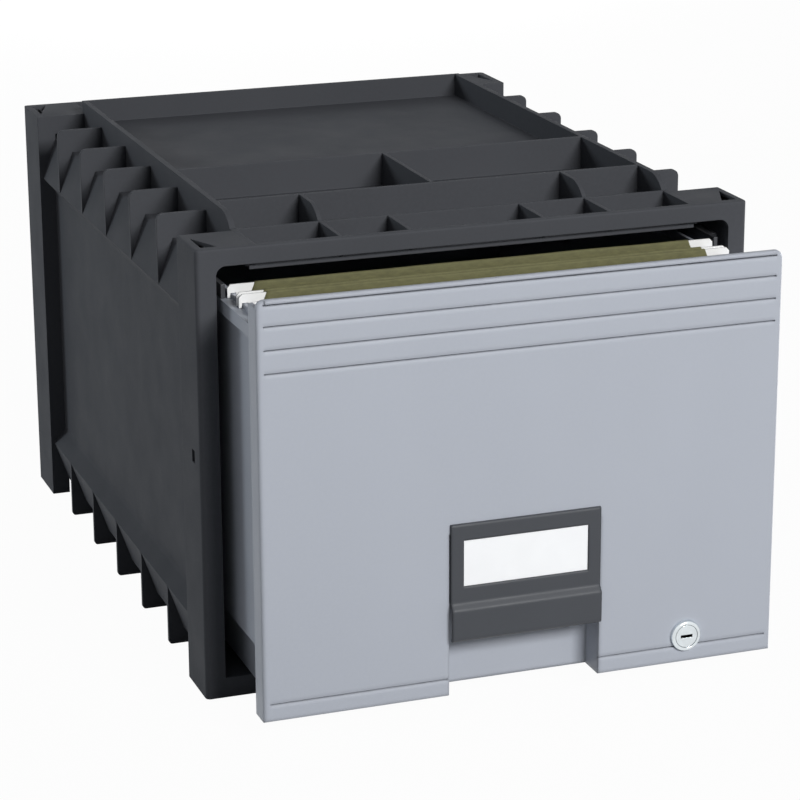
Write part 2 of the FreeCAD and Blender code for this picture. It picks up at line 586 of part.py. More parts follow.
def drawer_bottom():
    """The drawer's floor, notched for the pull recess and for the swing of the lock cam."""
    body = drawer_body("drawer_bottom")
    half = f"({LOWER_HALF} - drawer_wall)"
    top = f"{DRAWER_FLOOR} + wall"
    block(body, "plate", (f"-{half}", half), ("front_rim_depth", f"{DRAWER_LENGTH} - drawer_wall"),
          (DRAWER_FLOOR, top))
    ribs = new_sketch(body, "ribs", "XY", top)
    rectangle(ribs, f"-{half} + floor_rib_margin", f"{half} - floor_rib_margin",
              "floor_rib_first", "floor_rib_first + rib_thickness")
    rib = grow(body, ribs, "floor_rib_height")
    repeat(body, rib, "Y", "floor_rib_pitch", "floor_rib_count")
    hollow(body, "recess_notch", ("-recess_half_width - wall", "recess_half_width + wall"),
           ("front_rim_depth", "recess_depth"), (DRAWER_FLOOR, top))
    hollow(body, "cam_notch", (f"{LOCK_OFFSET} - cam_slot_near", f"{LOCK_OFFSET} + cam_notch_far"),
           ("front_rim_depth", f"{CAM_FRONT} + cam_thickness + cam_slot_gap"),
           (DRAWER_FLOOR, top))
    return body


def drawer_back():
    """The drawer's rear wall, with its top edge below the folder rails."""
    body = drawer_body("drawer_back")
    wall = new_sketch(body, "wall", "XZ", f"{DRAWER_LENGTH} - drawer_wall")
    low, high = f"({LOWER_HALF} - drawer_wall)", f"({SIDE_HALF} - drawer_wall)"
    outline(wall, both_sides([
        (low, DRAWER_FLOOR), (low, "step_up + drawer_wall"), (high, "step_up + drawer_wall"),
        (high, f"{FLANGE_TOP} - back_drop - back_slope"),
        (f"{high} - back_slope", f"{FLANGE_TOP} - back_drop")]))
    grow(body, wall, "drawer_wall")
    return body


def handle():
    """The label holder: a plate over the recess whose lower edge curls out as the pull."""
    body = drawer_body("handle")
    half, thick = "handle_half_width", "handle_wall"
    turn = "handle_curl"
    out = "(handle_proud + handle_lip)"
    profile = new_sketch(body, "profile", "YZ", f"-{half}")
    rise = "handle_bend - handle_lip * 1.2"
    outline(profile, [
        ("0", "handle_top"), ("-handle_proud", "handle_top"), ("-handle_proud", "handle_bend"),
        (f"-{out}", rise),
        (f"-{out}", f"handle_bottom + {turn}", (f"-{out} + {turn}", f"handle_bottom + {turn}")),
        (f"-{out} + {turn}", "handle_bottom"), ("-handle_proud", "handle_bottom"),
        ("-handle_proud", f"handle_bottom + {thick}"),
        (f"-{out} + {turn}", f"handle_bottom + {thick}",
         (f"-{out} + {turn}", f"handle_bottom + {turn}")),
        (f"-{out} + {thick}", f"handle_bottom + {turn}"),
        (f"-{out} + {thick}", f"{rise} - {thick} / 2"), ("0", f"handle_bend - {thick} / 2")])
    grow(body, profile, f"2 * {half}")
    for sign, name in ((-1, "left"), (1, "right")):
        block(body, name + "_ear", span(sign, f"{half} - {thick}", half), ("0", "ear_depth"),
              ("handle_bend", "ear_top"))
    holes = new_sketch(body, "screw_holes", "YZ", f"-{half}")
    circle(holes, "screw_back", "screw_up", "screw_radius + fit_gap")
    cut(body, holes, f"2 * {half}")
    hollow(body, "label_bed", ("-label_half_width", "label_half_width"),
           ("-handle_proud", "-handle_proud + label_recess"), ("label_low", "label_high"))
    round_edges(body, "top_edge", "handle_proud / 2", lambda middle, along: (
        near(middle.y, "-handle_proud") and near(middle.z, "handle_top")))
    return body


def label_card():
    """The paper label that lies in the holder's bed."""
    body = drawer_body("label_card")
    bed = "(label_recess - handle_proud)"
    block(body, "card", ("-label_half_width + fit_gap", "label_half_width - fit_gap"),
          (f"{bed} - card_thickness", bed), ("label_low + fit_gap", "label_high - fit_gap"))
    return body


def handle_screws():
    """Two screws, driven from inside the drawer, that hold the handle's ears."""
    body = drawer_body("handle_screws")
    for sign, name in ((-1, "left"), (1, "right")):
        tip, seat = f"handle_half_width - handle_wall", "recess_half_width + wall"
        for part, radius, ends in (("shank", "screw_radius", (tip, seat)),
                                   ("head", "2 * screw_radius", (seat, f"{seat} + screw_head"))):
            start, stop = span(sign, *ends)
            sketch = new_sketch(body, f"{name}_{part}", "YZ", start)
            circle(sketch, "screw_back", "screw_up", radius)
            grow(body, sketch, f"({stop}) - ({start})")
    return body


# ---------------------------------------------------------------- cam lock

def lock_disc(body, name, radius, back):
    """A round pad on the lock's axis between two distances from the drawer's face."""
    sketch = new_sketch(body, name, "XZ", back[0])
    circle(sketch, "0", "0", radius)
    return grow(body, sketch, f"({back[1]}) - ({back[0]})")


def lock_bore(body, name, radius, back):
    sketch = new_sketch(body, name, "XZ", back[0])
    circle(sketch, "0", "0", radius)
    return cut(body, sketch, f"({back[1]}) - ({back[0]})")


def lock_housing():
    """The lock's barrel: a collar on the drawer's face and a threaded sleeve through it."""
    body = drawer_body("lock_housing", LOCK_OFFSET, "0", "lock_up")
    lock_disc(body, "collar", "lock_face_radius", ("-lock_face", "0"))
    lock_disc(body, "sleeve", "lock_body_radius", ("0", "lock_body_length"))
    lock_bore(body, "bore", "plug_radius + plug_gap", ("-lock_face", "lock_body_length"))
    lock_bore(body, "rim_seat", "plug_radius + plug_rim + plug_gap",
              ("-lock_face", "-lock_face + plug_rim + plug_gap"))
    chamfer_rim(body, "collar_edge", "lock_face / 3", "-lock_face", "lock_face_radius")
    return body


def chamfer_rim(body, name, size, back, radius):
    """Bevel the round edge of the given radius at one distance from the drawer's face."""
    doc.recompute()
    tip = body.Tip
    names = [f"Edge{number}" for number, edge in enumerate(tip.Shape.Edges, start=1)
             if isinstance(edge.Curve, Part.Circle) and near(edge.Curve.Radius, radius, 1e-3)
             and near(edge.Curve.Center.y, back, 1e-3)]
    bevel = body.newObject("PartDesign::Chamfer", f"{body.Name}_{name}")
    bevel.Base = (tip, names)
    bevel.setExpression("Size", bind(size))
    return bevel


def lock_nut():
    """The hexagonal nut that clamps the barrel to the drawer's face from behind."""
    body = drawer_body("lock_nut", LOCK_OFFSET, "0", "lock_up")
    hexagon = new_sketch(body, "hexagon", "XZ", "front_thickness")
    across, half = "nut_half_width", "nut_half_width * 0.57735"
    outline(hexagon, both_sides([
        (half, f"-{across}"), ("2 * " + half, "0"), (half, across)]))
    grow(body, hexagon, "nut_thickness")
    lock_bore(body, "thread", "lock_body_radius + fit_gap",
              ("front_thickness", "front_thickness + nut_thickness"))
    return body


def lock_plug():
    """The keyed cylinder that turns in the barrel, with a square tail for the cam."""
    body = drawer_body("lock_plug", LOCK_OFFSET, "0", "lock_up")
    face = "(-lock_face + plug_gap)"
    lock_disc(body, "core", "plug_radius", (face, CAM_FRONT))
    lock_disc(body, "rim", "plug_radius + plug_rim", (face, f"{face} + plug_rim"))
    block(body, "tail", ("-cam_square", "cam_square"), (CAM_FRONT, f"{CAM_FRONT} + cam_thickness"),
          ("-cam_square", "cam_square"))
    hollow(body, "keyway", ("-key_width / 2", "key_width / 2"), (face, f"{face} + key_depth"),
           ("-key_height / 2", "key_height / 2"))
    lock_bore(body, "screw_hole", "stem_radius + fit_gap",
              (f"{CAM_FRONT} - cam_seat", f"{CAM_FRONT} + cam_thickness"))
    return body


def lock_cam():
    """The flat cam; a quarter turn swings it from the side down into the slot in the sill."""
    body = drawer_body("lock_cam", LOCK_OFFSET, "0", "lock_up")
    arm = new_sketch(body, "arm", "XZ", CAM_FRONT)
    half = "cam_width / 2"
    outline(arm, [
        ("0", f"-{half}"), ("cam_reach", f"-{half}", ("cam_reach", "0")), ("cam_reach", half),
        ("0", half)])
    grow(body, arm, "cam_thickness")
    lock_disc(body, "hub", "cam_hub", (CAM_FRONT, f"{CAM_FRONT} + cam_thickness"))
    hollow(body, "square", ("-cam_square - fit_gap", "cam_square + fit_gap"),
           (CAM_FRONT, f"{CAM_FRONT} + cam_thickness"),
           ("-cam_square - fit_gap", "cam_square + fit_gap"))
    return body


def cam_screw():
    """The screw that clamps the cam to the plug's tail."""
    body = drawer_body("cam_screw", LOCK_OFFSET, "0", "lock_up")
    seat = f"{CAM_FRONT} + cam_thickness"
    lock_disc(body, "stem", "stem_radius", (f"{CAM_FRONT} - cam_seat + fit_gap", seat))
    lock_disc(body, "head", "screw_head_radius", (seat, f"{seat} + screw_head"))
    hollow(body, "slot", ("-screw_head_radius", "screw_head_radius"),
           (f"{seat} + screw_head / 2", f"{seat} + screw_head"),
           ("-key_height / 2", "key_height / 2"))
    return body


# ---------------------------------------------------------------- hanging folders

def folder_body(label, number):
    return drawer_body(label, y=f"folder_first + {number} * folder_step")


def folder(label, number):
    """One folded sheet whose two top hems wrap the hangers."""
    body = folder_body(label, number)
    card, bar = "folder_sheet", "(hanger_thickness / 2)"
    low = FOLDER_LOW
    sheet_profile = new_sketch(body, "sheet", "YZ", f"-{FOLDER_HALF}")
    rear = f"fold_width + {bar}"
    outline(sheet_profile, [
        (f"-{bar} - {card}", f"{low} + folder_fold"), (f"-{bar}", low),
        (rear, low), (f"{rear} + {card}", f"{low} + folder_fold"), (f"{rear} + {card}", FOLDER_TOP),
        (f"fold_width - {bar} - {card}", FOLDER_TOP),
        (f"fold_width - {bar} - {card}", f"{FOLDER_TOP} - folder_hem"),
        (f"fold_width - {bar}", f"{FOLDER_TOP} - folder_hem"),
        (f"fold_width - {bar}", f"{FOLDER_TOP} - {card}"), (rear, f"{FOLDER_TOP} - {card}"),
        (rear, f"{low} + folder_fold"), (f"{rear} - {card}", f"{low} + {card}"),
        (f"-{bar} + {card}", f"{low} + {card}"), (f"-{bar}", f"{low} + folder_fold"),
        (f"-{bar}", f"{FOLDER_TOP} - {card}"), (bar, f"{FOLDER_TOP} - {card}"),
        (bar, f"{FOLDER_TOP} - folder_hem"), (f"{bar} + {card}", f"{FOLDER_TOP} - folder_hem"),
        (f"{bar} + {card}", FOLDER_TOP), (f"-{bar} - {card}", FOLDER_TOP)])
    grow(body, sheet_profile, f"2 * {FOLDER_HALF}")
    corners = new_sketch(body, "corners", "XZ", f"-{bar} - 2 * {card}")
    for sign in (-1, 1):
        outline(corners, mirrored(sign, [
            (f"{FOLDER_HALF} - folder_notch", f"{FOLDER_TOP} + {card}"),
            (f"{FOLDER_HALF} + folder_notch", f"{FOLDER_TOP} + {card}"),
            (f"{FOLDER_HALF} + folder_notch", f"{FOLDER_TOP} - folder_hem"),
            (FOLDER_HALF, f"{FOLDER_TOP} - folder_hem")]))
    cut(body, corners, f"fold_width + hanger_thickness + 4 * {card}")
    return body


def hangers(label, number):
    """The pair of hanger bars in the hems, hooked at both ends over the drawer's rails."""
    body = folder_body(label, number)
    top = f"({FOLDER_TOP} - folder_sheet)"
    play = "hook_play"
    notch_top = f"({RAIL_TOP} + seat_gap)"
    bar = new_sketch(body, "bar", "XZ", "-hanger_thickness / 2")
    outline(bar, both_sides([
        (f"{RAIL_IN} - 3 * hook_wall", f"{top} - hanger_height"),
        (f"{RAIL_IN} - {play} - 2 * hook_wall", f"{RAIL_TOP} - hook_drop"),
        (f"{RAIL_IN} - {play}", f"{RAIL_TOP} - hook_drop"),
        (f"{RAIL_IN} - {play}", notch_top), (f"{RAIL_OUT} + {play}", notch_top),
        (f"{RAIL_OUT} + {play}", f"{FLANGE_TOP} + seat_gap"),
        (SIDE_HALF, f"{FLANGE_TOP} + seat_gap"), (SIDE_HALF, f"{top} - hook_wall"),
        (f"{RAIL_OUT} + {play}", top)]))
    pad = grow(body, bar, "hanger_thickness")
    repeat(body, pad, "Y", "fold_width", "hanger_count")
    return body


def papers(label, number):
    """The sheaf of letter sheets that stands in the fold."""
    body = folder_body(label, number)
    half = f"({FOLDER_HALF} - paper_inset)"
    block(body, "sheaf", (f"-{half}", half),
          ("fold_width / 2 - paper_thickness / 2", "fold_width / 2 + paper_thickness / 2"),
          (f"{FOLDER_LOW} + folder_sheet", f"{FOLDER_TOP} - paper_drop"))
    return body


SUBPARTS = [
    front_frame(), side_panel("left_side_panel", -1), side_panel("right_side_panel", 1),
    side_fins("left_fins", -1), side_fins("right_fins", 1),
    top_panel(), bottom_panel(), back_panel(),
    upper_guide("left_guide_rail", -1), upper_guide("right_guide_rail", 1),
    lower_runner("left_runner", -1), lower_runner("right_runner", 1),
    drawer_front(), drawer_side("drawer_left_side", -1), drawer_side("drawer_right_side", 1),
    drawer_bottom(), drawer_back(), handle(), label_card(), handle_screws(),
    lock_housing(), lock_nut(), lock_plug(), lock_cam(), cam_screw(),
    folder("front_folder", 0), hangers("front_hangers", 0), papers("front_papers", 0),
    folder("rear_folder", 1), hangers("rear_hangers", 1), papers("rear_papers", 1),
]


def check_document():
    """Stop if any object failed to build, or if a sub-part has no sound solid."""
    doc.recompute()
    for item in doc.Objects:
        if {"Invalid", "Error"} & set(item.State):
            raise RuntimeError(f"{item.Name}: {item.State}")
    for item in SUBPARTS:
        if item.Shape.isNull() or not item.Shape.isValid() or not item.Shape.Solids:
            raise RuntimeError(f"{item.Label} has no valid solid")


check_document()
os.makedirs("parts", exist_ok=True)
for item in SUBPARTS:
    item.Shape.exportStep(f"parts/{item.Label}.step")
    print(item.Label, len(item.Shape.Solids), round(item.Shape.Volume), item.Shape.BoundBox)
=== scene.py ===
"""Looks, light and camera for the stackable file drawer."""
import math

import bmesh
import bpy
from mathutils import Euler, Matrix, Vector, noise


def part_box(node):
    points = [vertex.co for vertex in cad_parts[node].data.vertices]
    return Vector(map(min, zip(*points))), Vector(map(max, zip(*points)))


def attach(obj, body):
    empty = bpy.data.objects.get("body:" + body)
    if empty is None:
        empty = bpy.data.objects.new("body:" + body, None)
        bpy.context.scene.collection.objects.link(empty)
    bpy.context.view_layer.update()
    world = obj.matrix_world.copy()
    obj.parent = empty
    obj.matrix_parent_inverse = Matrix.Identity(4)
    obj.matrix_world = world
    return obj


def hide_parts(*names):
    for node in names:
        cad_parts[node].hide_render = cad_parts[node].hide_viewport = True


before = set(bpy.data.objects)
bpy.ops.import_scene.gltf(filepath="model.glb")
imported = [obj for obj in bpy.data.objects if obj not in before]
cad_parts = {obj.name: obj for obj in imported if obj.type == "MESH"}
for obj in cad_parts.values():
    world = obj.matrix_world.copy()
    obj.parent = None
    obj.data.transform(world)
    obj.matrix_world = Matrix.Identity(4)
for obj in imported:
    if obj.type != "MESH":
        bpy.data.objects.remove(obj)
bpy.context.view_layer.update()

MM = 0.001


# ------------------------------------------------------------ material helpers

class Graph:
    """A material's node tree, with short calls for the nodes that it uses."""

    def __init__(self, name):
        self.material = bpy.data.materials.new(name)
        self.material.use_nodes = True
        self.tree = self.material.node_tree
        self.shader = self.tree.nodes["Principled BSDF"]
        self.place = self.node("ShaderNodeTexCoord").outputs["Object"]

    def node(self, kind, **settings):
        made = self.tree.nodes.new(kind)
        for key, value in settings.items():
            setattr(made, key, value)
        return made

    def put(self, socket, value):
        """A link where the value is a socket, and a plain setting where it is a number."""
        if isinstance(value, bpy.types.NodeSocket):
            self.tree.links.new(value, socket)
        else:
            socket.default_value = value

    def look(self, name, value):
        """One input of the shader."""
        self.put(self.shader.inputs[name], value)

    def mapped(self, scale):
        """Object coordinates, stretched by a scale for each axis."""
        mapping = self.node("ShaderNodeMapping")
        self.put(mapping.inputs["Vector"], self.place)
        mapping.inputs["Scale"].default_value = scale
        return mapping.outputs["Vector"]

    def noise(self, scale, detail=2.0, roughness=0.5, place=None):
        made = self.node("ShaderNodeTexNoise")
        self.put(made.inputs["Vector"], place or self.place)
        made.inputs["Scale"].default_value = scale
        made.inputs["Detail"].default_value = detail
        made.inputs["Roughness"].default_value = roughness
        return made.outputs["Fac"]

    def ramp(self, value, low, high, start=0.0, end=1.0):
        """A value mapped from one range to another, and kept within it."""
        made = self.node("ShaderNodeMapRange")
        made.inputs["From Min"].default_value = low
        made.inputs["From Max"].default_value = high
        made.inputs["To Min"].default_value = start
        made.inputs["To Max"].default_value = end
        self.put(made.inputs["Value"], value)
        return made.outputs["Result"]

    def math(self, kind, a, b=0.0):
        made = self.node("ShaderNodeMath", operation=kind)
        self.put(made.inputs[0], a)
        self.put(made.inputs[1], b)
        return made.outputs[0]

    def mix(self, factor, a, b):
        """A blend of two colours; 6, 7 and 2 are the colour sockets of the Mix node."""
        made = self.node("ShaderNodeMix", data_type="RGBA")
        for index, value in ((0, factor), (6, a), (7, b)):
            self.put(made.inputs[index], value)
        return made.outputs[2]

    def apart(self):
        """Object coordinates as X, Y and Z."""
        made = self.node("ShaderNodeSeparateXYZ")
        self.put(made.inputs[0], self.place)
        return made.outputs

    def soft_edges(self, radius):
        """Normals rounded over the edges."""
        made = self.node("ShaderNodeBevel", samples=6)
        made.inputs["Radius"].default_value = radius
        return made.outputs["Normal"]

    def edge_mask(self, radius):
        """1 on the edges and 0 on the flats."""
        geometry = self.node("ShaderNodeNewGeometry")
        dot = self.node("ShaderNodeVectorMath", operation="DOT_PRODUCT")
        self.put(dot.inputs[0], self.soft_edges(radius))
        self.put(dot.inputs[1], geometry.outputs["Normal"])
        return self.ramp(dot.outputs["Value"], low=0.995, high=0.8)

    def bump(self, height, strength, distance, normal=None):
        made = self.node("ShaderNodeBump")
        made.inputs["Strength"].default_value = strength
        made.inputs["Distance"].default_value = distance
        self.put(made.inputs["Height"], height)
        if normal is not None:
            self.put(made.inputs["Normal"], normal)
        return made.outputs["Normal"]


def shade(colour, factor):
    return tuple(min(1.0, channel * factor) for channel in colour[:3]) + (1.0,)


def moulded_plastic(name, colour, rough, grain=0.55 * MM, relief=0.02 * MM, edge=0.8 * MM,
                    wear=1.25, mottle=0.06, specular=0.5, rounding=None):
    """Moulded plastic: a spark-eroded grain, slight flow marks, and paler rubbed edges."""
    g = Graph(name)
    flow = g.noise(scale=9.0, detail=3.0, roughness=0.55, place=g.mapped((1.0, 1.0, 0.45)))
    body = g.mix(g.ramp(flow, low=0.3, high=0.7), shade(colour, 1.0 - mottle),
                 shade(colour, 1.0 + mottle))
    speck = g.ramp(g.noise(scale=1.0 / (grain * 4.0)), low=0.35, high=0.75, end=0.5)
    body = g.mix(speck, body, shade(colour, 1.0 + 1.5 * mottle))
    patches = g.ramp(g.noise(scale=60.0, detail=4.0, roughness=0.7), low=0.4, high=0.65,
                     start=0.25, end=0.9)
    rub = g.math("MULTIPLY", g.edge_mask(edge), patches)
    g.look("Base Color", g.mix(rub, body, shade(colour, wear)))
    dull = g.noise(scale=35.0, detail=4.0, roughness=0.6)
    g.look("Roughness", g.ramp(dull, low=0.3, high=0.7, start=rough - 0.05, end=rough + 0.06))
    fine = g.bump(g.noise(scale=1.0 / grain, detail=3.0, roughness=0.6), strength=0.5,
                  distance=relief, normal=g.soft_edges(rounding or edge))
    wave = g.bump(g.noise(scale=14.0, detail=1.0), strength=0.06, distance=0.6 * MM, normal=fine)
    g.look("Normal", wave)
    g.look("Specular IOR Level", specular)
    return g.material


def worn_metal(name, colour, rough, scratch=(1.0, 1.0, 1.0), edge=0.4 * MM, painted_shade_behind=None):
    """Plated metal with fine scratches and cloudy patches, and painted shade (near-black, not metallic)
    in a keyway behind its face.
    """
    g = Graph(name)
    cloud = g.noise(scale=180.0, detail=3.0)
    body = g.mix(g.ramp(cloud, low=0.3, high=0.7), shade(colour, 0.9), shade(colour, 1.05))
    if painted_shade_behind is None:
        g.look("Metallic", 1.0)
    else:
        # painted shade: behind the plug's face the keyway's inside is coloured near-black and made
        # non-metallic, standing in for the shadow in the slot
        deep = g.ramp(g.apart()["Y"], low=painted_shade_behind, high=painted_shade_behind + 0.3 * MM)
        body = g.mix(deep, body, PAINTED_KEYWAY_SHADE)
        g.look("Metallic", g.ramp(deep, low=0.0, high=1.0, start=1.0, end=0.0))
    g.look("Base Color", body)
    line = g.noise(scale=2500.0, roughness=0.6, place=g.mapped(scratch))
    g.look("Roughness", g.ramp(line, low=0.3, high=0.7, start=rough * 0.8, end=rough * 1.4))
    g.look("Normal", g.bump(line, strength=0.25, distance=0.01 * MM, normal=g.soft_edges(edge)))
    return g.material


def tab_slits(g, height, pitch=25.0 * MM, half_length=6.0 * MM, half_width=0.6 * MM,
              soft=0.15 * MM):
    """1 inside a row of short die-cut slits along X at one height, and 0 elsewhere: the mask where the
    slits' shade is painted.
    """
    part = g.apart()
    along = g.math("PINGPONG", part["X"], pitch / 2)
    above = g.math("ABSOLUTE", g.math("SUBTRACT", part["Z"], height))
    return g.math("MULTIPLY", g.ramp(along, low=half_length, high=half_length - soft),
                  g.ramp(above, low=half_width, high=half_width - soft))


def fibre_board(name, colour, pale, slit_height):
    """Dyed pressboard with short fibres, rubbed and paler edges, and slits for index tabs painted in as
    dark shade with a bump.
    """
    g = Graph(name)
    fibre = g.noise(scale=420.0, detail=5.0, roughness=0.7, place=g.mapped((0.35, 1.0, 1.0)))
    cloud = g.noise(scale=22.0, detail=3.0, roughness=0.6)
    body = g.mix(g.ramp(fibre, low=0.35, high=0.7), shade(colour, 0.8), shade(colour, 1.3))
    body = g.mix(g.ramp(cloud, low=0.35, high=0.7, end=0.45), body, shade(colour, 1.25))
    patches = g.ramp(g.noise(scale=90.0, detail=4.0), low=0.4, high=0.6, start=0.1, end=0.8)
    rub = g.math("MULTIPLY", g.edge_mask(0.6 * MM), patches)
    body = g.mix(rub, body, pale + (1.0,))
    slit = tab_slits(g, slit_height)
    # painted shade: the slits are coloured near-black for the dark inside a cut, as the card is not cut
    # through
    g.look("Base Color", g.mix(slit, body, shade(colour, 0.12)))
    g.look("Roughness", 0.78)
    cut = g.bump(slit, strength=0.8, distance=-0.3 * MM, normal=g.soft_edges(0.3 * MM))
    g.look("Normal", g.bump(fibre, strength=0.5, distance=0.06 * MM, normal=cut))
    return g.material


def paper_block(name, colour):
    """Office paper: fine lines across the sheaf's thickness, and short fibres."""
    g = Graph(name)
    lines = g.noise(scale=1.0, detail=1.0, place=g.mapped((6.0, 6500.0, 6.0)))
    body = g.mix(g.ramp(lines, low=0.35, high=0.65), shade(colour, 0.72), shade(colour, 1.05))
    fibre = g.ramp(g.noise(scale=900.0, detail=4.0), low=0.3, high=0.8, end=0.15)
    g.look("Base Color", g.mix(fibre, body, shade(colour, 0.9)))
    g.look("Roughness", 0.85)
    g.look("Normal", g.bump(lines, strength=0.5, distance=0.1 * MM))
    return g.material


def card_stock(name, colour):
    """Smooth white card with a faint tooth."""
    g = Graph(name)
    tooth = g.noise(scale=1500.0, detail=4.0, roughness=0.6)
    cloud = g.ramp(g.noise(scale=60.0, detail=3.0), low=0.3, high=0.7)
    g.look("Base Color", g.mix(cloud, shade(colour, 0.985), shade(colour, 1.01)))
    g.look("Roughness", 0.7)
    g.look("Normal", g.bump(tooth, strength=0.3, distance=0.01 * MM, normal=g.soft_edges(0.2 * MM)))
    return g.material


# ------------------------------------------------------------ finishes

SLATE = (0.069, 0.072, 0.08)
CHARCOAL = (0.047, 0.051, 0.059)
COOL_GREY = (0.405, 0.43, 0.482)
ZINC = (0.72, 0.72, 0.73)
CHROME = (0.75, 0.8, 0.825)
OLIVE = (0.114, 0.11, 0.046)
PALE_OLIVE = (0.36, 0.34, 0.2)
VINYL_WHITE = (0.9, 0.9, 0.89)
PAPER_WHITE = (0.84, 0.84, 0.82)
LABEL_WHITE = (0.92, 0.93, 0.94)
# near-black painted shade for the inside of the lock's keyway
PAINTED_KEYWAY_SHADE = (0.006, 0.006, 0.007, 1.0)

PLUG_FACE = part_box("lock_plug")[0][1]
KEYWAY_START = PLUG_FACE + 0.15 * MM
FOLDER_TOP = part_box("front_folder")[1][2]
SLIT_HEIGHT = FOLDER_TOP - 12.0 * MM
BRUSHED_ALONG_Y = (1.0, 0.08, 1.0)

case_plastic = moulded_plastic("case_plastic", SLATE, rough=0.62, specular=0.035)
rail_plastic = moulded_plastic("rail_plastic", shade(SLATE, 0.7), rough=0.42, relief=0.01 * MM)
drawer_plastic = moulded_plastic("drawer_plastic", COOL_GREY, rough=0.45, wear=1.12, mottle=0.02,
                                 specular=0.35)
face_plastic = moulded_plastic("face_plastic", COOL_GREY, rough=0.45, wear=1.12, mottle=0.02,
                               specular=0.35, rounding=4.0 * MM)
handle_plastic = moulded_plastic("handle_plastic", CHARCOAL, rough=0.45, wear=1.12,
                                 edge=0.6 * MM, specular=0.35, rounding=2.4 * MM)
chrome = worn_metal("lock_chrome", CHROME, rough=0.13)
keyed_chrome = worn_metal("keyed_chrome", CHROME, rough=0.16, painted_shade_behind=KEYWAY_START)
steel = worn_metal("zinc_steel", shade(ZINC, 0.8), rough=0.35, scratch=BRUSHED_ALONG_Y)
folder_card = fibre_board("folder_card", OLIVE, PALE_OLIVE, SLIT_HEIGHT)
hanger_coat = moulded_plastic("hanger_coat", VINYL_WHITE, rough=0.35, wear=0.95, mottle=0.02,
                              edge=0.3 * MM)
sheets = paper_block("sheets", PAPER_WHITE)
label = card_stock("label_stock", LABEL_WHITE)

FINISHES = {
    case_plastic: ("front_frame", "left_side_panel", "right_side_panel", "left_fins", "right_fins",
                   "top_panel", "bottom_panel", "back_panel"),
    rail_plastic: ("left_guide_rail", "right_guide_rail", "left_runner", "right_runner"),
    drawer_plastic: ("drawer_left_side", "drawer_right_side", "drawer_bottom", "drawer_back"),
    face_plastic: ("drawer_front",),
    handle_plastic: ("handle",),
    label: ("label_card",),
    keyed_chrome: ("lock_plug",),
    steel: ("lock_nut", "lock_cam", "cam_screw", "handle_screws"),
    hanger_coat: ("front_hangers", "rear_hangers"),
}
for material, names in FINISHES.items():
    for name in names:
        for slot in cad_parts[name].material_slots:
            slot.material = material


# ------------------------------------------------------------ shared shaping

def as_piece(name, bm, material, node, body):
    """A finished mesh as a piece that rides a body and stands for a node of the frame."""
    mesh = bpy.data.meshes.new(name)
    bm.to_mesh(mesh)
    bm.free()
    mesh.materials.append(material)
    piece = bpy.data.objects.new(name, mesh)
    bpy.context.scene.collection.objects.link(piece)
    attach(piece, body)
    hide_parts(node)
    return piece


def thicken(piece, thickness):
    """A wall of even thickness about a piece's single-sided mesh."""
    wall = piece.modifiers.new("wall", "SOLIDIFY")
    wall.thickness = thickness
    wall.offset = 0.0


def swept(bm, line, start, length, steps):
    """An open line of (y, z) points, drawn out along X into a strip of faces."""
    points = [bm.verts.new((start, y, z)) for y, z in line]
    edges = [bm.edges.new(pair) for pair in zip(points, points[1:])]
    for _ in range(steps):
        made = bmesh.ops.extrude_edge_only(bm, edges=edges)["geom"]
        moved = [item for item in made if isinstance(item, bmesh.types.BMVert)]
        bmesh.ops.translate(bm, verts=moved, vec=(length / steps, 0.0, 0.0))
        row = set(moved)
        edges = [item for item in made if isinstance(item, bmesh.types.BMEdge)
                 and row.issuperset(item.verts)]


def smooth(bm):
    for face in bm.faces:
        face.smooth = True


# ------------------------------------------------------------ hanging folders

CARD = 0.6 * MM
CARD_GAP = 0.1 * MM
CARD_ROWS = 16
CARD_STEPS = 60
HEM = 18.0 * MM
HEM_TURN = 1.0 * MM
FOLD = 4.0 * MM
CORNER_CUT = 7.0 * MM
BOW = 2.2 * MM
RIPPLE = 0.9 * MM
HANDLING = 0.5 * MM
RIM_WAVE = 0.25 * MM
CRUMPLE_REACH = 34.0 * MM
CRUMPLE_DEPTH = 2.4 * MM
CRUMPLE_DROP = 1.6 * MM


def card_line(front, rear, low, high):
    """The section of a folder: front hem, front panel, base, rear panel, rear hem."""
    def panel_edge(outer, inward):
        turn = [(outer + inward * HEM_TURN * (1.0 - math.cos(angle)),
                 high - HEM_TURN * (1.0 - math.sin(angle)))
                for angle in [math.pi * step / 6 for step in range(7)]]
        hem = [(outer + inward * 2.0 * HEM_TURN, high - HEM * part) for part in (0.2, 0.5, 0.8, 1.0)]
        drop = high - HEM_TURN - (low + FOLD)
        panel = [(outer, low + FOLD + drop * step / CARD_ROWS) for step in range(CARD_ROWS)]
        return panel + turn + hem

    base = [(front + (rear - front) * part, low) for part in (0.07, 0.35, 0.65, 0.93)]
    return panel_edge(front, 1.0)[::-1] + base + panel_edge(rear, -1.0)


def cut_corners(bm, low, high):
    """Slanted upper corners, so that the ends of the hangers show."""
    for sign, edge in ((-1.0, low.x), (1.0, high.x)):
        bmesh.ops.bisect_plane(bm, geom=bm.verts[:] + bm.edges[:] + bm.faces[:], clear_outer=True,
                               plane_co=(edge - sign * CORNER_CUT, 0.0, high.z),
                               plane_no=(sign * HEM, 0.0, CORNER_CUT))


